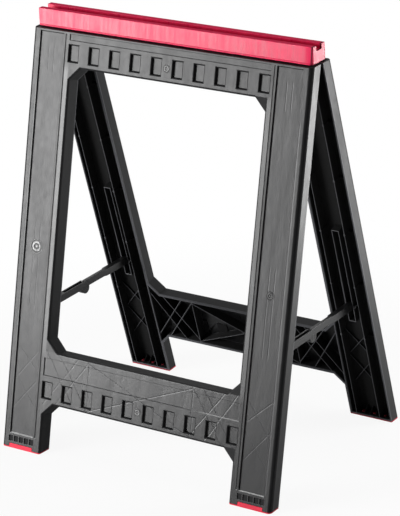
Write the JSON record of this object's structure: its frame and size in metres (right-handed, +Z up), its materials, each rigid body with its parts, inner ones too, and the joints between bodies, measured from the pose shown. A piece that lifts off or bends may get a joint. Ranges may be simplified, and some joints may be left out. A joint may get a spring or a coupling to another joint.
{
  "type": "folding builders trestle",
  "caption": "Folding plastic builders trestle: leaning leg frames hinged under a grooved red top beam, held open by folding stays, on red feet.",
  "frame": {"origin": "on the floor below the middle of the top beam, with the trestle standing open", "axes": "+X along the top beam, +Y from the front frame to the rear frame, +Z up"},
  "size_m": [0.555, 0.419, 0.74],
  "materials": {
    "beam_plastic": "satin red moulding",
    "frame_plastic": "satin charcoal moulding",
    "stay_plastic": "satin black moulding",
    "foot_rubber": "matt red rubber",
    "pin_steel": "zinc plated"
  },
  "bodies": {
    "top_beam": {"top_beam": "beam_plastic", "hinge_rod": "pin_steel", "rod_clips": "pin_steel"},
    "front_frame": {"front_frame": "frame_plastic", "front_left_foot": "foot_rubber", "front_right_foot": "foot_rubber", "front_left_pivot_pin": "pin_steel", "front_right_pivot_pin": "pin_steel"},
    "rear_frame": {"rear_frame": "frame_plastic", "rear_left_foot": "foot_rubber", "rear_right_foot": "foot_rubber", "rear_left_pivot_pin": "pin_steel", "rear_right_pivot_pin": "pin_steel"},
    "front_left_stay": {"front_left_stay": "stay_plastic", "left_knuckle_heads": "stay_plastic"},
    "front_right_stay": {"front_right_stay": "stay_plastic", "right_knuckle_heads": "stay_plastic"},
    "rear_left_stay": {"rear_left_stay": "stay_plastic", "left_knuckle_pin": "stay_plastic"},
    "rear_right_stay": {"rear_right_stay": "stay_plastic", "right_knuckle_pin": "stay_plastic"}
  },
  "joints": [
    {"name": "front_fold", "type": "hinge", "parent": "top_beam", "child": "front_frame", "pos_m": [0, 0, 0.717], "axis": [1, 0, 0], "range_deg": [0, 14.3]},
    {"name": "rear_fold", "type": "hinge", "parent": "top_beam", "child": "rear_frame", "pos_m": [0, 0, 0.717], "axis": [1, 0, 0], "range_deg": [-14.3, 0]},
    {"name": "front_left_stay_pivot", "type": "hinge", "parent": "front_frame", "child": "front_left_stay", "pos_m": [-0.2353, -0.13003, 0.234], "axis": [1, 0, 0], "range_deg": [0, 75.7]},
    {"name": "front_right_stay_pivot", "type": "hinge", "parent": "front_frame", "child": "front_right_stay", "pos_m": [0.2353, -0.13003, 0.234], "axis": [1, 0, 0], "range_deg": [0, 75.7]},
    {"name": "rear_left_stay_pivot", "type": "hinge", "parent": "rear_frame", "child": "rear_left_stay", "pos_m": [-0.2353, 0.13003, 0.234], "axis": [1, 0, 0], "range_deg": [-75.7, 0]},
    {"name": "rear_right_stay_pivot", "type": "hinge", "parent": "rear_frame", "child": "rear_right_stay", "pos_m": [0.2353, 0.13003, 0.234], "axis": [1, 0, 0], "range_deg": [-75.7, 0]}
  ],
  "couplings": [
    {"joint": "rear_fold", "follows": "front_fold", "ratio": -1},
    {"joint": "front_left_stay_pivot", "follows": "front_fold", "ratio": 5.2937},
    {"joint": "front_right_stay_pivot", "follows": "front_fold", "ratio": 5.2937},
    {"joint": "rear_left_stay_pivot", "follows": "front_fold", "ratio": -5.2937},
    {"joint": "rear_right_stay_pivot", "follows": "front_fold", "ratio": -5.2937}
  ]
}
